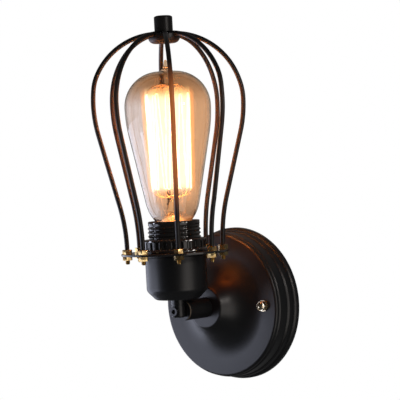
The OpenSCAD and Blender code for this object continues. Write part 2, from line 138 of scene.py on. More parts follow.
class Finish:
    """A material, or the world's shader, as it is put together."""

    def __init__(self, name, owner=None, **constants):
        self.material = owner or bpy.data.materials.new(name)
        self.material.use_nodes = True
        self.tree = self.material.node_tree
        self.tree.nodes.clear()
        self.output = self.tree.nodes.new("ShaderNodeOutputWorld" if owner else "ShaderNodeOutputMaterial")
        if owner:
            return
        self.shader = self.tree.nodes.new("ShaderNodeBsdfPrincipled")
        self.tree.links.new(self.shader.outputs[0], self.output.inputs["Surface"])
        for socket, value in constants.items():
            self.shader.inputs[socket.replace("_", " ")].default_value = value

    def feed(self, socket, value):
        if isinstance(value, Value):
            self.tree.links.new(value.socket, socket)
        elif socket.type == "RGBA":
            socket.default_value = (*value, 1)
        else:
            socket.default_value = value

    def node(self, kind, settings=None, inputs=None, output=0):
        """Adds a node: its settings first, then its sockets' values or links."""
        made = self.tree.nodes.new("ShaderNode" + kind)
        for key, value in (settings or {}).items():
            setattr(made, key, value)
        for key, value in (inputs or {}).items():
            self.feed(made.inputs[key], value)
        return Value(self, made.outputs[output])

    def put(self, **sockets):
        """Feeds the shader's sockets, each named with _ for a space."""
        for socket, value in sockets.items():
            self.feed(self.shader.inputs[socket.replace("_", " ")], value)

    def place(self):
        """A point of the surface in the frame's own axes, in metres."""
        return self.node("TexCoord", output="Object")

    def height(self):
        return self.node("SeparateXYZ", inputs={0: self.place()}, output="Z")

    def length_along(self, vector, way):
        return self.node("VectorMath", {"operation": "DOT_PRODUCT"}, {0: vector, 1: way}, output="Value")

    def ray(self, kind):
        """1 for rays of one kind, such as Camera, Glossy or Shadow, and 0 for the others."""
        return self.node("LightPath", output=f"Is {kind} Ray")

    def edge_on(self):
        """From 0 where the surface is seen face on to 1 where it is seen along itself."""
        return self.node("LayerWeight", inputs={"Blend": 0.5}, output="Facing")

    def noise(self, size_mm, detail, stretch=(1, 1, 1), seed=0.0):
        spot = self.node("Mapping", inputs={"Vector": self.place(), "Scale": stretch,
                                            "Location": (seed, 0.7 * seed, 0)})
        return self.node("TexNoise", inputs={"Vector": spot, "Scale": 1 / (size_mm * MM),
                                             "Detail": detail}, output="Fac")

    def mix(self, factor, first, second):
        return self.node("Mix", {"data_type": "RGBA"}, {0: factor, 6: first, 7: second}, output=2)

    def bump(self, height, strength, distance_mm):
        return self.node("Bump", inputs={"Height": height, "Strength": strength,
                                         "Distance": distance_mm * MM})

    def blend_shaders(self, factor, second):
        """Mixes a second shader over whatever feeds the surface so far."""
        mixer = self.tree.nodes.new("ShaderNodeMixShader")
        self.feed(mixer.inputs[0], factor)
        self.tree.links.new(self.output.inputs["Surface"].links[0].from_socket, mixer.inputs[1])
        self.tree.links.new(second.socket, mixer.inputs[2])
        self.tree.links.new(mixer.outputs[0], self.output.inputs["Surface"])


# ---------- finishes ----------
def black_paint():
    """Satin black enamel with a fine orange peel and a little dust."""
    f = Finish("black_paint", Metallic=0.0, Coat_Weight=0.0)
    cloud = f.noise(14, 3)
    grain = f.noise(0.35, 2)
    dust = f.noise(0.9, 4, seed=3).between(0.68, 0.82)
    base = f.mix(cloud, (0.0016, 0.0017, 0.002), (0.0036, 0.0038, 0.0044))
    f.put(Base_Color=f.mix(dust * 0.25, base, (0.026, 0.027, 0.03)),
          Roughness=cloud * 0.06 + grain * 0.04 + 0.33,
          Normal=f.bump(grain + f.noise(1.6, 2, seed=1) * 1.5, 0.12, 0.01))
    return f.material


BARE_FOOT_Z = 42


def cage_paint(name, brown, facing=None):
    """Black enamel, browner along the stretch beside the bulb, and bare brass at the foot. Given a facing,
    the brown keeps to the side that faces that way, and is a painted glow of the lit bulb.
    """
    f = Finish(name, Specular_IOR_Level=0.35)
    cloud = f.noise(9, 3, seed=5)
    height = f.height()
    beside_bulb = height.between_mm(70, 110) * height.between_mm(185, 155)
    if facing:
        # painted glow: only the side that faces the given way takes the brown
        outward = f.length_along(f.node("TexCoord", output="Normal"), facing)
        beside_bulb = beside_bulb * outward.between(-0.1, 0.6)
    bare = height.between_mm(BARE_FOOT_Z + 0.5, BARE_FOOT_Z - 0.5)
    base = f.mix(cloud, (0.004, 0.0034, 0.0032), (0.007, 0.0058, 0.0052))
    f.put(Base_Color=f.mix(bare, f.mix(beside_bulb, base, brown), (0.55, 0.36, 0.13)), Metallic=bare,
          Roughness=cloud * 0.08 + 0.34, Normal=f.bump(f.noise(2.5, 2), 0.04, 0.02))
    return f.material


def metal(name, clean, dull, roughness, grain_mm=0.5, stretch=(1, 1, 1), metallic=1.0):
    """A plated or turned metal with cloudy tarnish and fine tool marks."""
    f = Finish(name, Metallic=metallic)
    cloud = f.noise(3.5, 4, seed=2).between(0.35, 0.7)
    marks = f.noise(grain_mm, 3, stretch)
    f.put(Base_Color=f.mix(cloud, clean, dull),
          Roughness=cloud * 0.16 + marks * 0.1 + roughness,
          Normal=f.bump(marks, 0.15, 0.02))
    return f.material


def phenolic():
    """Black moulded phenolic with faint flow marks."""
    f = Finish("phenolic", Metallic=0.0)
    flow = f.noise(6, 4, (1, 1, 3))
    speck = f.noise(0.25, 2)
    f.put(Base_Color=f.mix(flow, (0.004, 0.0038, 0.0036), (0.009, 0.008, 0.0075)),
          Roughness=flow * 0.08 + speck * 0.04 + 0.05, Normal=f.bump(speck, 0.05, 0.01))
    return f.material


def glaze(name, light, dark, roughness):
    """Fired or fused glass skin with a few dark specks."""
    f = Finish(name, Metallic=0.0, Coat_Weight=0.3)
    cloud = f.noise(5, 3)
    speck = f.noise(0.5, 2).between(0.68, 0.78)
    f.put(Base_Color=f.mix(speck * 0.4, f.mix(cloud, light, dark), (0.3, 0.27, 0.2)),
          Roughness=cloud * 0.1 + roughness, Normal=f.bump(cloud, 0.1, 0.05))
    return f.material


def sleeving(name, light, dark):
    """Woven insulation: two sets of threads crossing on a slant."""
    f = Finish(name, Metallic=0.0)
    weave = [f.node("TexWave", {"bands_direction": "DIAGONAL"},
                    {"Vector": f.node("Mapping", inputs={"Vector": f.place(), "Scale": s}),
                     "Scale": 700.0}, output="Fac") for s in ((1, 1, 1), (-1, 1, 1))]
    cloth = weave[0] * weave[1]
    f.put(Base_Color=f.mix(cloth, dark, light), Roughness=0.9 - cloth * 0.15,
          Normal=f.bump(cloth, 0.5, 0.08))
    return f.material


def blown_glass():
    """Thin tinted glass, deeper at both ends and where it is seen edge on; lamps shine through it. A painted
    reflection makes one side paler, and a painted glow lights the neck.
    """
    crown, skirt, pale = (0.54, 0.36, 0.22), (0.87, 0.63, 0.44), (0.88, 0.82, 0.81)
    neck, painted_reflection_neck = (0.6, 0.44, 0.32), (0.7, 0.65, 0.64)
    smoke, rim, ember = (0.62, 0.46, 0.34), (0.24, 0.16, 0.11), (1.0, 0.36, 0.1)
    f = Finish("amber_glass", Metallic=0.0, IOR=1.45, Transmission_Weight=1.0, Emission_Strength=0.1)
    height = f.height()
    streak = f.noise(2.4, 2, (1, 1, 0.06)).between(0.3, 0.7)
    side = f.length_along(f.place(), (-math.cos(AZIMUTH), -math.sin(AZIMUTH), 0))
    # painted reflection: the glass turns pale on its side to the left as the lens sees it
    tint = f.mix(side.between_mm(52, 68), skirt, pale)
    tint = f.mix(height.between_mm(150, 174), tint, crown)
    # painted reflection: the neck turns pale on that side too
    tint = f.mix(height.between_mm(88, 70), tint, f.mix(side.between_mm(50, 58), neck, painted_reflection_neck))
    tint = f.mix(streak * 0.3, tint, smoke)
    tint = f.mix(f.edge_on().between(0.68, 0.88) * 0.9, tint, rim)
    # painted glow: the neck's foot glows orange, away from the pale side
    painted_neck_glow = height.between_mm(71.5, 68.5) * side.between_mm(56, 50)
    f.put(Base_Color=tint, Roughness=streak * 0.02 + 0.005,
          Emission_Color=f.mix(painted_neck_glow, (0, 0, 0), ember), Normal=f.bump(streak, 0.05, 0.3))
    f.blend_shaders(f.ray("Shadow"), f.node("BsdfTransparent", inputs={"Color": pale}))
    return f.material


def hot_filament():
    """Carbon wire at a warm glow, a little cooler near its hooks."""
    f = Finish("hot_filament", Metallic=0.0, Roughness=0.6, Emission_Strength=7.0)
    height = f.height()
    top = height.between_mm(152, 161)
    low = height.between_mm(99, 91)
    heat = 1 - (top * 0.28 + low * 0.4)
    flicker = f.noise(2.5, 2)
    hot = f.mix(heat * (flicker * 0.3 + 0.8), (0.7, 0.2, 0.04), (1.0, 0.82, 0.58))
    f.put(Base_Color=f.mix(flicker, (0.25, 0.12, 0.05), (0.4, 0.2, 0.08)), Emission_Color=hot)
    return f.material


def hot_haze():
    """The bloom round the hot wires: pale yellow face on, orange and thin at its rim and ends."""
    f = Finish("hot_haze", Metallic=0.0, Roughness=1.0, Emission_Strength=2.6, Specular_IOR_Level=0.0)
    height, rim = f.height(), f.edge_on()
    ends = height.between_mm(87, 96) * height.between_mm(167.5, 158.5)
    streak = f.noise(2.2, 2, (1, 1, 0.03), seed=2)
    face = f.mix(height.between_mm(156, 163), (1.0, 0.93, 0.84), (1.0, 0.76, 0.42))
    veil = 0.56 - rim.between(0.42, 0.52) * 0.36 - rim.between(0.52, 0.95) * 0.2
    f.put(Base_Color=f.mix(streak, (0.0, 0.0, 0.0), (0.004, 0.002, 0.0)),
          Emission_Color=f.mix(rim.between(0.4, 0.5), face, (1.0, 0.45, 0.14)),
          Alpha=ends * veil * (streak * 0.6 + 0.7))
    return f.material


def hook_wire():
    """Fine support wire, with a painted glow that makes it bright below, and dull above."""
    f = Finish("hook_wire", Metallic=0.4)
    cloud = f.noise(2, 2)
    # painted glow: pale and warm below, where the neck's light falls
    wire = f.mix(f.height().between_mm(100, 140), (0.85, 0.7, 0.5), (0.12, 0.11, 0.1))
    f.put(Base_Color=f.mix(cloud * 0.5, wire, (0.1, 0.08, 0.07)), Roughness=cloud * 0.1 + 0.35)
    return f.material


def lit_stem():
    """Clear pressed glass with a painted glow, orange at its foot, that stands for the lamp's light down in
    the neck.
    """
    f = Finish("lit_stem", Metallic=0.0, IOR=1.45, Transmission_Weight=1.0, Emission_Strength=0.2)
    swirl = f.noise(3, 2, (1, 1, 0.4))
    # painted glow: orange low on the stem, paler above
    glow = f.mix(f.height().between_mm(66.2, 68.8), (1.0, 0.36, 0.08), (0.9, 0.66, 0.34))
    f.put(Base_Color=f.mix(swirl, (0.98, 0.95, 0.9), (0.92, 0.84, 0.7)),
          Roughness=swirl * 0.1 + 0.03, Emission_Color=glow)
    return f.material


def pressed_fibre():
    """Brown insulating board with fine hairs in it."""
    f = Finish("fibre", Metallic=0.0)
    hair = f.noise(0.6, 4, (4, 1, 1))
    f.put(Base_Color=f.mix(hair, (0.16, 0.11, 0.07), (0.34, 0.25, 0.17)),
          Roughness=0.85 - hair * 0.1, Normal=f.bump(hair, 0.4, 0.05))
    return f.material


FINISHES = {
    "black_paint": black_paint(),
    "cage_paint": cage_paint("cage_paint", (0.02, 0.010, 0.006)),
    # the front wire's paint, with a painted glow of the bulb on its outer side
    "painted_glare_paint": cage_paint("painted_glare_paint", (0.42, 0.11, 0.018), (0.707, -0.707, 0)),
    "brass": metal("brass", (0.95, 0.72, 0.34), (0.34, 0.19, 0.07), 0.1),
    "pale_brass": metal("pale_brass", (0.88, 0.78, 0.58), (0.42, 0.31, 0.17), 0.1),
    "zinc_steel": metal("zinc_steel", (0.66, 0.67, 0.68), (0.52, 0.53, 0.55), 0.3, 0.8, (1, 5, 1), 0.5),
    "hook_wire": hook_wire(),
    "bulb_cap_metal": metal("bulb_cap_metal", (0.78, 0.74, 0.66), (0.5, 0.46, 0.4), 0.25),
    "phenolic": phenolic(),
    "porcelain": glaze("porcelain", (0.84, 0.82, 0.77), (0.74, 0.71, 0.65), 0.12),
    "black_glass": glaze("black_glass", (0.02, 0.02, 0.025), (0.012, 0.012, 0.016), 0.08),
    "amber_glass": blown_glass(),
    "clear_glass": lit_stem(),
    "hot_filament": hot_filament(),
    "hot_haze": hot_haze(),
    "lead_sleeving": sleeving("lead_sleeving", (0.72, 0.68, 0.58), (0.4, 0.37, 0.3)),
    "earth_sleeving": sleeving("earth_sleeving", (0.62, 0.6, 0.06), (0.05, 0.3, 0.07)),
    "fibre": pressed_fibre(),
}
SLOT_OF = {p["node"]: p["material_slot"] for p in frame["record"]["subparts"]}
BODY_OF = {n: b for b, nodes in frame["record"]["behaviour"]["bodies"].items() for n in nodes}


# ---------- mesh helpers ----------
ON_AXIS = SAME_SPOT = 1e-6
NEARLY_STRAIGHT = math.radians(150)
LONGEST_CUT = 0.45
ROWS_PER_TURN = 14
WELD = 2e-6
FLAT = math.radians(0.8)
EDGE_ANGLE = 28


def finish_piece(name, mesh, node, sharp, place=None, finish=None):
    """Turns a bmesh in millimetres into a piece that replaces a node and rides on its body."""
    bmesh.ops.recalc_face_normals(mesh, faces=mesh.faces)
    data = bpy.data.meshes.new(name)
    mesh.to_mesh(data)
    mesh.free()
    data.transform(Matrix.Scale(MM, 4))
    if place:
        data.transform(place)
    data.shade_smooth()
    data.set_sharp_from_angle(angle=math.radians(sharp))
    piece = bpy.data.objects.new(name, data)
    bpy.context.collection.objects.link(piece)
    data.materials.append(FINISHES[finish or SLOT_OF[node]])
    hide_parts(node)
    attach(piece, BODY_OF[node])
    return piece


def arc(centre, radius, start, end, steps):
    """Points on an arc, angles in degrees."""
    angles = [math.radians(start + (end - start) * i / steps) for i in range(steps + 1)]
    return [(centre[0] + radius * math.cos(a), centre[1] + radius * math.sin(a)) for a in angles]


def bezier(a, b, c, d, steps):
    """Points on a curve that leaves a towards b and comes to d from c."""
    points = []
    for i in range(steps + 1):
        t = i / steps
        s = 1 - t
        weights = (s ** 3, 3 * s * s * t, 3 * s * t * t, t ** 3)
        points.append(tuple(sum(w * p[k] for w, p in zip(weights, (a, b, c, d))) for k in (0, 1)))
    return points


def soften(outline, radius, steps, loop=False):
    """Rounds each sharp corner of an outline by a small curve."""
    count = len(outline)
    done = []
    for i, here in enumerate(outline):
        if not loop and i in (0, count - 1):
            done.append(here)
            continue
        here = Vector(here)
        back = Vector(outline[i - 1]) - here
        ahead = Vector(outline[(i + 1) % count]) - here
        if min(back.length, ahead.length) < SAME_SPOT or back.angle(ahead) > NEARLY_STRAIGHT:
            done.append(tuple(here))
            continue
        cut = min(radius, back.length * LONGEST_CUT, ahead.length * LONGEST_CUT)
        first, last = here + back.normalized() * cut, here + ahead.normalized() * cut
        for k in range(steps + 1):
            t = k / steps
            done.append(tuple((1 - t) ** 2 * first + 2 * t * (1 - t) * here + t * t * last))
    return done


def inset(outline, distance):
    """Moves an outline sideways by a distance, to its left."""
    moved = []
    for i, here in enumerate(outline):
        ahead = Vector(outline[min(i + 1, len(outline) - 1)])
        behind = Vector(outline[max(i - 1, 0)])
        way = (ahead - behind).normalized()
        moved.append((here[0] - distance * way.y, here[1] + distance * way.x))
    return moved


def ring_at(mesh, r, z, segments):
    return [mesh.verts.new((r * math.cos(TURN * i / segments), r * math.sin(TURN * i / segments), z))
            for i in range(segments)]


def lathe(outline, segments, loop=True):
    """A closed surface of revolution about z. Points on the axis become single vertices."""
    mesh = bmesh.new()
    rings = [[mesh.verts.new((0, 0, z))] if r < ON_AXIS else ring_at(mesh, r, z, segments)
             for r, z in outline]
    join_all(mesh, rings, loop)
    return mesh


def join_rings(mesh, one, two):
    """Faces between two rings; either ring may be a single vertex."""
    count = max(len(one), len(two))
    for i in range(count):
        k = (i + 1) % count
        corners = []
        for ring, order in ((one, (i, k)), (two, (k, i))):
            corners += [ring[0]] if len(ring) == 1 else [ring[j] for j in order]
        if len(corners) > 2:
            mesh.faces.new(corners)


def join_all(mesh, rings, loop):
    for one, two in zip(rings, rings[1:] + rings[:1] if loop else rings[1:]):
        join_rings(mesh, one, two)


def sweep(points, radius, sides, hint):
    """A closed tube through points; radius is a number or a function of index and angle.

    Its first vertex lies on the side that hint points to.
    """
    mesh = bmesh.new()
    points = [Vector(p) for p in points]
    rings = []
    across = hint
    for i, here in enumerate(points):
        way = (points[min(i + 1, len(points) - 1)] - points[max(i - 1, 0)]).normalized()
        across = (across - across.dot(way) * way).normalized()
        other = way.cross(across)
        ring = []
        for j in range(sides):
            a = TURN * j / sides
            r = radius(i, a) if callable(radius) else radius
            ring.append(mesh.verts.new(here + r * (math.cos(a) * across + math.sin(a) * other)))
        rings.append(ring)
    join_all(mesh, rings, False)
    mesh.faces.new(rings[0])
    mesh.faces.new(rings[-1])
    return mesh


def merge(parts):
    """Joins several bmeshes into one."""
    whole = bmesh.new()
    for part in parts:
        data = bpy.data.meshes.new("part")
        part.to_mesh(data)
        part.free()
        whole.from_mesh(data)
        bpy.data.meshes.remove(data)
    return whole


def threaded_tube(crest, depth, pitch, z0, z1, bore, segments, sharpness, above=()):
    """A tube with an outside thread that fades at its ends, and any plain rings above it."""
    rows = int((z1 - z0) / pitch * ROWS_PER_TURN)
    mesh = bmesh.new()
    rings = []
    for i in range(rows + 1):
        z = z0 + (z1 - z0) * i / rows
        fade = min(1, (z1 - z) / pitch * 2, (z - z0) / pitch)
        ring = []
        for j in range(segments):
            phase = (z / pitch - j / segments) % 1
            hollow = (0.5 - 0.5 * math.cos(TURN * phase)) ** sharpness
            r = crest - depth * (hollow * fade + (1 - fade))
            a = TURN * j / segments
            ring.append(mesh.verts.new((r * math.cos(a), r * math.sin(a), z)))
        rings.append(ring)
    rings += [ring_at(mesh, r, z, segments) for r, z in above]
    top = above[-1][1] if above else z1
    rings += [ring_at(mesh, bore, z, segments) for z in (top, z0)]
    join_all(mesh, rings, True)
    return mesh


def bevelled(node, width=0.25, finish=None):
    """Replaces a node by its own solid with the edges broken by a small round."""
    mesh = bmesh.new()
    mesh.from_mesh(frame["nodes"][node].data)
    bmesh.ops.remove_doubles(mesh, verts=mesh.verts, dist=WELD)
    bmesh.ops.dissolve_limit(mesh, angle_limit=FLAT, verts=mesh.verts, edges=mesh.edges)
    bmesh.ops.scale(mesh, vec=(1 / MM,) * 3, verts=mesh.verts)
    piece = finish_piece(node + "_dressed", mesh, node, EDGE_ANGLE + 2, finish=finish)
    rounder = piece.modifiers.new("edge", "BEVEL")
    rounder.width = width * MM
    rounder.segments = 2
    rounder.limit_method = "ANGLE"
    rounder.angle_limit = math.radians(EDGE_ANGLE)


# ---------- wall side ----------
SHELL_T = 1.2
CANOPY_R = round_size("canopy")[0]
CANOPY_H = -corners_mm("canopy")[0].y
TIER_RADII = (CANOPY_R, CANOPY_R - 1.8, CANOPY_R - 3, CANOPY_R - 3.8)
TIER_TOPS = (5.4, 11.2, 20, 22.8)
TIER_ROUNDS = (3.4, 3.2, 2.3, 2.0)
TIER_LEDGE = 0.12
BELL_START = 41.5
BELL_ROUND = 26.8
BELL_TURN = 59
BOSS_R = 15.8
HOLE_R = 5.1


def canopy_outline():
    """Radius and distance from the wall: four tiers, a flat front, the bell and the boss."""
    points = [(TIER_RADII[0], 0)]
    for k, (r, top, bend) in enumerate(zip(TIER_RADII, TIER_TOPS, TIER_ROUNDS)):
        turn = 90 if k == 3 else math.degrees(math.acos(1 - (r - TIER_RADII[k + 1]) / bend))
        points += arc((r - bend, top - bend), bend, 0, turn, 8)
        if k < 3:
            points.append((TIER_RADII[k + 1], points[-1][1] + TIER_LEDGE))
    points += arc((BELL_START, TIER_TOPS[3] + BELL_ROUND), BELL_ROUND, 270, 270 - BELL_TURN, 20)
    points += bezier((BOSS_R + 0.7, CANOPY_H - 1.9), (BOSS_R + 0.1, CANOPY_H - 0.8),
                     (BOSS_R - 0.3, CANOPY_H), (BOSS_R - 1.4, CANOPY_H), 8)
    return points


def make_canopy():
    """The spun shell, of even thickness, with a hole in its boss."""
    outer = canopy_outline()
    inner = [(r, min(h, CANOPY_H - SHELL_T)) for r, h in inset(outer, SHELL_T)]
    loop = outer + [(HOLE_R, CANOPY_H), (HOLE_R, CANOPY_H - SHELL_T)] + inner[::-1]
    finish_piece("canopy_shell", lathe(loop, 192), "canopy", 50, FROM_WALL)


# ---------- cage ----------
WIRE_R = 1.75
WIRES = 8
PIN_R = 35.6
FOOT_ROUND = 135
LEAN = math.radians(14.8)
HIP_ROUND = 95
CAGE_R = corners_mm("cage_wire_3")[1].x - WIRE_R
CAGE_Z = 155.5
TOP_ROUND = CAGE_R - 5.7
WIRE_FOOT = corners_mm("cage_wire_1")[0].z
THREAD_TOP = round_size("cage_plate")[2] + 4.6
THREAD_PITCH = 0.6
THREAD_DEPTH = 0.3
THREAD_ROWS = 6
FOOT_TAPER = 0.5
FOOT_TAPER_ROWS = 8


def wire_path():
    """Centre line of a wire as (radius, height), and how many of its first steps are threaded.

    It has an upright foot, a lean, a hip and a shoulder.
    """
    hip = (CAGE_R - HIP_ROUND * (1 - math.cos(LEAN)), CAGE_Z - HIP_ROUND * math.sin(LEAN))
    knee_r = PIN_R + FOOT_ROUND * (1 - math.cos(LEAN))
    knee_z = hip[1] - (hip[0] - knee_r) / math.tan(LEAN)
    foot_z = knee_z - FOOT_ROUND * math.sin(LEAN)
    lean = math.degrees(LEAN)
    fine = THREAD_PITCH / THREAD_ROWS
    steps = int((THREAD_TOP - WIRE_FOOT) / fine)
    points = [(PIN_R, WIRE_FOOT + fine * i) for i in range(steps + 1)]
    points += [(PIN_R, foot_z - 0.2)]
    points += arc((PIN_R + FOOT_ROUND, foot_z), FOOT_ROUND, 180, 180 - lean, 10)
    points += arc((CAGE_R - HIP_ROUND, CAGE_Z), HIP_ROUND, -lean, 0, 10)
    points += arc((CAGE_R - TOP_ROUND, CAGE_Z), TOP_ROUND, 3, 90, 29)
    return points, steps


# how far each bent wire strays from its true place, in mm: sideways over the shoulder, outwards at the hip
WIRE_STRAY = {1: (0.3, 0.2), 2: (-0.4, 0), 3: (-2.2, -1.4), 4: (0.2, 0.4), 5: (-1.1, 0.3), 6: (0.3, 0),
              7: (0, -0.3), 8: (0.2, -1.1)}
# the foot and the crown stay true: heights and radii between which a wire's stray sets in or fades
STRAY_RISE = (80, 140)
STRAY_CROWN = (6, 28)
STRAY_HIP = (176, 158)


def eased(value, low, high):
    """A smooth step from 0 at low to 1 at high; low may be the larger one."""
    t = min(1, max(0, (value - low) / (high - low)))
    return (3 - 2 * t) * t * t


def make_wires():
    """Eight bent wires with threaded feet; the front one has a painted glow of the bulb on its outer side."""
    path, steps = wire_path()

    def radius(i, a):
        if i > steps:
            return WIRE_R
        phase = (path[i][1] / THREAD_PITCH - a / TURN) % 1
        groove = THREAD_DEPTH * abs(2 * phase - 1) * min(1, (steps - i) / THREAD_ROWS)
        return WIRE_R - groove - FOOT_TAPER * max(0, 1 - i / FOOT_TAPER_ROWS)

    for k in range(WIRES):
        a = TURN * k / WIRES - TURN / 4
        out, side = Vector((math.cos(a), math.sin(a), 0)), Vector((-math.sin(a), math.cos(a), 0))
        sideways, outwards = WIRE_STRAY[k + 1]
        points = []
        for r, z in path:
            rise = eased(z, *STRAY_RISE)
            reach = r + rise * eased(z, *STRAY_HIP) * outwards
            drift = rise * eased(r, *STRAY_CROWN) * sideways
            points.append(reach * out + drift * side + Vector((0, 0, z)))
        name = f"cage_wire_{k + 1}"
        # the front wire takes the paint with the painted glow
        finish_piece(name.replace("cage", "bent"), sweep(points, radius, 16, side), name, 40, AT_LAMP,
                     "painted_glare_paint" if k == 1 else None)


# ---------- lampholder ----------
CUP_T = 1.2
CUP_LIP = 0.35
CUP_ENTRY_R = 4.1
CUP_SIDE_RISE = 9


def make_cup():
    """The cup with its rounded chamfer, and the rolled groove under its rim."""
    r, z0, z1 = round_size("lamp_cup")
    bottom = bezier((14.2, z0), (16.4, z0), (17.4, z0 + 1.5), (18.7, z0 + 2.9), 6)
    chamfer = bezier((18.9, z0 + 3.1), (21.5, z0 + 5.7), (r, z0 + 6.6), (r, z0 + CUP_SIDE_RISE), 8)
    groove = [(r, z1 - 2.0), (r - CUP_LIP, z1 - 1.7), (r - CUP_LIP, z1 - 1.4), (r, z1 - 1.1)]
    inner = [(r - CUP_T, z1), (r - CUP_T, z0 + CUP_SIDE_RISE), (18.4, z0 + 4.6), (13.8, z0 + 1.5),
             (CUP_ENTRY_R, z0 + 1.5), (CUP_ENTRY_R, z0)]
    loop = soften(bottom + chamfer + groove + [(r, z1)] + inner, 0.25, 3, True)
    finish_piece("cup_shell", lathe(loop, 128), "lamp_cup", 40, AT_LAMP)


SLEEVE_PITCH = 2.87
SLEEVE_THREAD = 1.05
THREAD_END = 63.9
COLLAR_IN = 0.6
SLEEVE_BORE = 17.3


def make_sleeve():
    """The lampholder's outer sleeve: a coarse thread below a plain collar."""
    r, z0, z1 = round_size("holder_sleeve")
    collar = r - COLLAR_IN
    above = [(collar, THREAD_END + 0.4), (collar, z1 - 0.4), (collar - 0.4, z1)]
    mesh = threaded_tube(r, SLEEVE_THREAD, SLEEVE_PITCH, z0, THREAD_END, SLEEVE_BORE, 128, 0.65, above)
    finish_piece("threaded_sleeve", mesh, "holder_sleeve", 50, AT_LAMP)


RING_TEETH = 24
BARREL_R = 23.1
FLANGE_T = 2.4
NOTCH_DEPTH = 1.3
# one tooth and notch: the place along it, and how much of the depth is cut there
NOTCH = ((0, 0), (0.15, 0), (0.27, 0), (0.3, 0.08), (0.32, 0.9), (0.36, 1), (0.5, 1), (0.64, 1),
         (0.68, 0.9), (0.7, 0.08), (0.73, 0), (0.86, 0))


def make_shade_ring():
    """A rounded flange, a barrel with finger notches and a bore that fits over the sleeve."""
    r, z0, z1 = round_size("shade_ring")
    bore = round_size("holder_sleeve")[0]
    shelf = z0 + FLANGE_T
    lip = bezier((r, z0 + 0.9), (r, z0 + 1.9), (r - 0.7, shelf), (r - 1.8, shelf), 8)
    flange = [(r - 0.4, z0, 0), (r, z0 + 0.3, 0)] + [(q, z, 0) for q, z in lip]
    barrel = [(BARREL_R + 0.25, shelf, 0), (BARREL_R, shelf + 0.2, 0), (BARREL_R, shelf + 0.3, 0.8),
              (BARREL_R, shelf + 0.5, 1), (BARREL_R, z1 - 2.1, 1), (BARREL_R, z1 - 1.9, 0.8),
              (BARREL_R, z1 - 1.8, 0), (BARREL_R, z1 - 0.9, 0), (BARREL_R - 0.3, z1 - 0.4, 0),
              (BARREL_R - 1.0, z1, 0)]
    mesh = bmesh.new()
    rings = []
    for outside, z, cut in flange + barrel:
        ring = []
        for tooth in range(RING_TEETH):
            for place, depth in NOTCH:
                a = TURN * (tooth + place) / RING_TEETH
                q = outside - NOTCH_DEPTH * cut * depth
                ring.append(mesh.verts.new((q * math.cos(a), q * math.sin(a), z)))
        rings.append(ring)
    rings += [ring_at(mesh, bore, z, len(rings[0])) for z in (z1, z0)]
    join_all(mesh, rings, True)
    finish_piece("castellated_ring", mesh, "shade_ring", 32, AT_LAMP)


SCREW_SHELL_T = 0.5
SCREW_SHELL_HOLE_R = 8


def make_screw_shell():
    """A thin metal cup with a hole in its floor for the contact."""
    r, z0, z1 = round_size("screw_shell")
    floor = z0 + 0.6
    outer = [(r, z0), (r, z1 - 1.2), (r, z1)]
    inner = [(r - SCREW_SHELL_T, z1), (r - SCREW_SHELL_T, floor),
             (SCREW_SHELL_HOLE_R, floor), (SCREW_SHELL_HOLE_R, z0)]
    cup = lathe(soften(outer + inner, 0.2, 3, True), 96)
    finish_piece("screw_shell_rolled", cup, "screw_shell", 40, AT_LAMP)


# ---------- finial ----------
def make_finial():
    """A shallow dish that the wires meet in, and the knob that screws down on it."""
    r, z0, z1 = round_size("finial_disc")
    dish = [(0, z0), (7.4, z0)] + bezier((7.6, z0), (9.8, z0 + 0.1), (r, z0 + 2), (r, z0 + 4.6), 10)
    dish += [(r, z1 - 0.5), (r - 0.5, z1), (0, z1)]
    finish_piece("finial_dish", lathe(dish, 96, False), "finial_disc", 35, AT_LAMP)
    r, z0, z1 = round_size("finial_knob")
    knob = [(0, z0), (r - 0.5, z0), (r, z0 + 0.5), (r, z1 - 1.6)]
    knob += bezier((r, z1 - 1.5), (r, z1 - 0.7), (r - 1.2, z1 - 0.15), (r - 2.4, z1 - 0.05), 8) + [(0, z1)]
    finish_piece("finial_cap", lathe(knob, 96, False), "finial_knob", 40, AT_LAMP)


# ---------- bulb ----------
BULB_R, NECK_Z, PIP_Z = round_size("bulb_glass")
BELLY_Z = 152
BELLY_ROUND = 26
SIDE_ROUND = 110
SIDE_TURN = math.radians(11.3)
SKIRT_Z = 82
GLASS_T = 0.8
TIP_SOLID_R = 5.5


def glass_outline():
    """Outside of the bulb from neck to tip: neck, skirt, tapered side, belly, crown and drawn tip."""
    side_z = BELLY_Z - SIDE_ROUND * math.sin(SIDE_TURN)
    side_r = BULB_R - SIDE_ROUND * (1 - math.cos(SIDE_TURN))
    skirt_r = side_r - (side_z - SKIRT_Z) * math.tan(SIDE_TURN)
    points = [(12.4, NECK_Z), (12.6, NECK_Z + 3)]
    points += bezier((13.3, NECK_Z + 3.4), (15, NECK_Z + 5.5), (skirt_r - 1.7, SKIRT_Z - 9),
                     (skirt_r, SKIRT_Z), 18)
    points += arc((BULB_R - SIDE_ROUND, BELLY_Z), SIDE_ROUND, -math.degrees(SIDE_TURN), 0, 14)
    points += arc((BULB_R - BELLY_ROUND, BELLY_Z), BELLY_ROUND, 3, 84, 27)
    crown = BELLY_Z + BELLY_ROUND
    points += bezier((6.6, crown - 0.1), (3.6, crown + 0.5), (2.1, crown + 1.9), (1.6, crown + 4.6), 12)
    points += bezier((1.45, crown + 5.6), (1.2, PIP_Z - 1), (0.8, PIP_Z), (0, PIP_Z), 6)
    return points


def make_glass():
    """The blown wall, closed under its drawn tip."""
    outer = glass_outline()
    crown = BELLY_Z + BELLY_ROUND - GLASS_T
    inner = [p for p in inset(outer, GLASS_T) if p[0] > TIP_SOLID_R]
    loop = [(0, crown)] + inner[::-1] + outer
    finish_piece("bulb_glass_blown", lathe(loop, 144, False), "bulb_glass", 60, AT_LAMP)


CAP_PITCH = 3.63
CAP_THREAD = 0.9
CAP_T = 1.4
CAP_COLLAR = 5


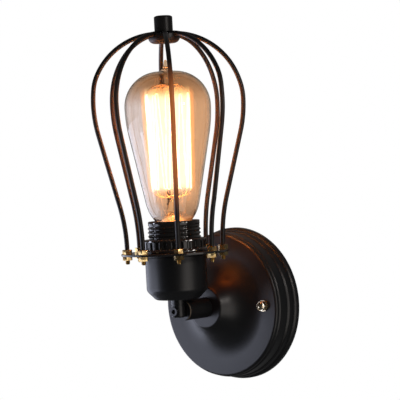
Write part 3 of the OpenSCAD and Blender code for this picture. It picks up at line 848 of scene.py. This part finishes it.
def make_cap():
    """The screw cap in three rolled parts: foot, thread and plain collar."""
    r, z0, z1 = round_size("bulb_cap")
    collar_z = z1 - CAP_COLLAR
    foot = lathe([(r - 1.1, z0), (r - 0.9, z0 + 1.3), (r - 1.4, z0 + 1.3), (r - 1.6, z0)], 96)
    screw = threaded_tube(r, CAP_THREAD, CAP_PITCH, z0 + 1.2, collar_z, r - CAP_T, 96, 0.9)
    collar = lathe(soften([(r - 0.9, collar_z - 0.2), (r, collar_z + 0.6), (r, z1), (r - 0.4, z1),
                           (r - 1.3, collar_z - 0.2)], 0.2, 3, True), 96)
    finish_piece("bulb_cap_rolled", merge([screw, collar, foot]), "bulb_cap", 50, AT_LAMP)


HOOK_TOP = (16.4, 161)
HOOK_LOW = (14.2, 91)
BEAD_TOP_Z = 168
BEAD_LOW_Z = 85
ROD_R = 1.2
STRANDS = 18
STRAND_STEP = math.radians(340) / STRANDS
STRAND_R = 0.42
HOOK_ROUND = 1.0
HOOK_STEPS = 8
SUPPORT_R = 0.2


def strand_points():
    """The filament's one wire: up to an upper hook, over it, down to a lower one, and so on.

    Half a bend is left off at each end.
    """
    points = []
    for i in range(STRANDS + 1):
        a = i * STRAND_STEP
        (r, z), way = (HOOK_TOP, 1) if i % 2 else (HOOK_LOW, -1)
        along = Vector((-math.sin(a), math.cos(a), 0))
        centre = Vector((r * math.cos(a), r * math.sin(a), z - way * HOOK_ROUND))
        for k in range(HOOK_STEPS + 1):
            t = math.pi * k / HOOK_STEPS
            points.append(centre + HOOK_ROUND * (-math.cos(t) * along + Vector((0, 0, way * math.sin(t)))))
    return points[HOOK_STEPS // 2:-(HOOK_STEPS // 2)]


def make_filament():
    wire = sweep(strand_points(), STRAND_R, 8, Vector((1, 0, 0)))
    finish_piece("filament_wire", wire, "filament", 60, AT_LAMP)


def make_haze():
    """A faint skin round the filament that stands for its bloom."""
    side = bezier((17.8, 89), (18.5, 110), (19.8, 140), (20.2, 158), 14)
    skin = soften([(0, 86), (10, 86.2), (16.2, 87)] + side + [(20, 168), (0, 168.5)], 3, 4)
    haze = finish_piece("filament_haze", lathe(skin, 64, False), "filament", 60, AT_LAMP, "hot_haze")
    haze.visible_shadow = False


def make_supports():
    """Thin hooked wires that spring from two beads on the stem and hold the filament's bends."""
    parts = []
    for first, way, (r, z), bead_r, bead_z in ((1, 1, HOOK_TOP, 2.0, BEAD_TOP_Z),
                                               (2, -1, HOOK_LOW, 2.2, BEAD_LOW_Z)):
        bead = [(bead_r, bead_z - 1), (bead_r, bead_z + 1), (ROD_R, bead_z + 1), (ROD_R, bead_z - 1)]
        parts.append(lathe(soften(bead, 0.45, 4, True), 24))
        arm = bezier((bead_r - 0.3, bead_z), (r * 0.55, bead_z + 0.9 * way), (r * 0.97, z + 5.2 * way),
                     (r - 0.1, z - 0.5 * way), 12)
        for i in range(first, STRANDS, 2):
            a = i * STRAND_STEP
            points = [(q * math.cos(a), q * math.sin(a), h) for q, h in arm]
            parts.append(sweep(points, SUPPORT_R, 6, Vector((-math.sin(a), math.cos(a), 0))))
    finish_piece("filament_hooks", merge(parts), "filament_supports", 60, AT_LAMP, "hook_wire")


# ---------- lights and surroundings ----------
ROOM_LEVEL = 0.6
GLOSS_BEHIND = 0.14
GLOSS_FRONT = 0.03
FLOOR_GLOSS = 0.06
FLOOR_WHITE = 0.6
COOL, WARM = (0.77, 0.81, 1.0), (1.0, 0.93, 0.88)
AMBER, EMBER = (1.0, 0.34, 0.06), (1.0, 0.18, 0.02)
FLOOR_HALF = 540
FLOOR_PLACE = Vector((0, -60, -380))
FADE_START, FADE_END = 240, 520
HOLDER_PIECES = ("threaded_sleeve", "castellated_ring", "cage_plate_dressed")
NUT_PIECES = ("cage_upper_nuts_dressed", "cage_lower_nuts_dressed")


def make_light(name, kind, place_mm, size_mm, power, colour, aim_mm=(0, 0, 0)):
    """A lamp that the lens and the glass don't show: a panel that faces its aim, or a small globe."""
    data = bpy.data.lights.new(name, kind)
    data.energy = power
    data.color = colour
    if kind == "AREA":
        data.shape = "RECTANGLE"
        data.size, data.size_y = size_mm[0] * MM, size_mm[1] * MM
    else:
        data.shadow_soft_size = size_mm * MM
    lamp = bpy.data.objects.new(name, data)
    lamp.location = Vector(place_mm) * MM
    way = Vector(aim_mm) * MM - lamp.location
    lamp.rotation_euler = way.to_track_quat("-Z", "Y").to_euler()
    lamp.visible_camera = lamp.visible_transmission = False
    bpy.context.collection.objects.link(lamp)
    return lamp


def shine_on(lamp, *names):
    """Makes a lamp light only the named pieces, and returns their collection."""
    lit = bpy.data.collections.new(lamp.name + "_pieces")
    for name in names:
        lit.objects.link(bpy.data.objects[name])
    lamp.light_linking.receiver_collection = lit
    return lit


def from_camera_side(angle, distance, height):
    """A place at an angle to the right of the lens, seen from above the lamp."""
    a = AZIMUTH + math.radians(angle)
    return (distance * math.sin(a), -REACH - distance * math.cos(a), height)


def make_world():
    """White where the lens or glass looks at it; gloss sees a paler room behind than in front."""
    world = bpy.data.worlds.new("studio")
    bpy.context.scene.world = world
    w = Finish("studio", owner=world)
    toward_lens = w.length_along(w.node("TexCoord", output="Generated"),
                                 (math.sin(AZIMUTH), -math.cos(AZIMUTH), 0))
    front = toward_lens.between(-0.75, 0.1)
    seen = w.ray("Camera").math("MAXIMUM", w.ray("Transmission"))
    gloss = w.ray("Glossy")
    level = ROOM_LEVEL * (1 - gloss) + gloss * (GLOSS_BEHIND - front * (GLOSS_BEHIND - GLOSS_FRONT))
    strength = seen + (1 - seen) * level
    back = w.node("Background", inputs={"Color": (1, 1, 1), "Strength": strength})
    w.tree.links.new(back.socket, w.output.inputs["Surface"])


def make_floor():
    """Pale to the lens and to soft light, dim in gloss, and faded out at its rim and from below."""
    mesh = bmesh.new()
    side = FLOOR_HALF * MM
    mesh.faces.new([mesh.verts.new((x * side, y * side, 0)) for x, y in ((-1, -1), (1, -1), (1, 1), (-1, 1))])
    data = bpy.data.meshes.new("floor")
    mesh.to_mesh(data)
    mesh.free()
    floor = bpy.data.objects.new("floor", data)
    floor.location = FLOOR_PLACE * MM
    f = Finish("pale_floor", Metallic=0.0)
    grain = f.noise(30, 3)
    f.put(Base_Color=f.mix(grain, (0.92, 0.92, 0.92), (0.96, 0.96, 0.96)), Roughness=grain * 0.1 + 0.8)
    dim = f.node("Emission", inputs={"Color": (1, 1, 1), "Strength": FLOOR_GLOSS})
    f.blend_shaders(f.ray("Glossy"), dim)
    white = f.node("Emission", inputs={"Color": (1, 1, 1), "Strength": 1.0})
    f.blend_shaders(f.ray("Camera") * FLOOR_WHITE, white)
    away = f.node("VectorMath", {"operation": "LENGTH"}, {0: f.place()}, output="Value")
    gone = f.node("NewGeometry", output="Backfacing").math("MAXIMUM", away.between_mm(FADE_START, FADE_END))
    f.blend_shaders(gone, f.node("BsdfTransparent"))
    data.materials.append(f.material)
    bpy.context.collection.objects.link(floor)


def make_studio():
    """Big soft panels for the shading, small lamps for the glints, and the glow of the lit bulb."""
    bpy.context.scene.view_settings.view_transform = "Standard"
    make_world()
    make_floor()
    middle, holder = (0, -60, 20), (0, -REACH, 40)
    make_light("left_box", "AREA", from_camera_side(-118, 600, -130), (900, 460), 2.7, COOL, middle)
    make_light("right_box", "AREA", from_camera_side(42, 450, -120), (320, 380), 0.5, WARM, middle)
    make_light("low_box", "AREA", (-215, -330, -90), (120, 100), 0.055, COOL, (35, -23, -40))
    make_light("key_spot", "AREA", from_camera_side(44, 450, 190), (44, 44), 0.34, WARM, (0, -70, 50))
    make_light("face_box", "AREA", from_camera_side(-80, 520, -40), (110, 110), 0.15, COOL, (30, -25, -20))
    # small lamps for the glints on the lampholder and the nuts
    for name, angle, height, size, power, colour, lit in (
            ("right_glint", 62, 190, (60, 90), 1.5, WARM, HOLDER_PIECES),
            ("left_glint", -104, 150, (110, 80), 0.7, COOL, HOLDER_PIECES),
            ("nut_glint", 50, 150, (70, 70), 0.25, WARM, NUT_PIECES)):
        lamp = make_light(name, "AREA", from_camera_side(angle, 450, height), size, power, colour, holder)
        shine_on(lamp, *lit)
    make_light("bulb_glow", "POINT", (0, -REACH, 128), 22, 2.3, AMBER)
    # the glow that finds its way past the cage plate to the canopy, and to no other piece
    stray = make_light("stray_glow", "POINT", (10, -REACH, 86), 7, 0.14, EMBER)
    stray.light_linking.blocker_collection = shine_on(stray, "canopy_shell")


# ---------- dress what stays from the frame ----------
def dress_nodes():
    """Gives each CAD node that still shows the finish of its slot."""
    for node, piece in frame["nodes"].items():
        if piece.hide_render:
            continue
        piece.data.materials.clear()
        piece.data.materials.append(FINISHES["hook_wire" if node == "lead_in_wires" else SLOT_OF[node]])


make_camera()
make_canopy()
make_wires()
make_cup()
make_sleeve()
make_shade_ring()
make_screw_shell()
make_finial()
make_glass()
make_cap()
make_filament()
make_haze()
make_supports()
for edged in ("arm", "swivel_block", "pivot_screw", "mounting_bracket", "arm_locknut", "cup_locknut"):
    bevelled(edged)
bevelled("cage_plate", 0.3, "phenolic")
for nuts in ("cage_upper_nuts", "cage_lower_nuts"):
    bevelled(nuts, 0.12)
bevelled("canopy_cap_nuts", 0.15, "pale_brass")
dress_nodes()
make_studio()
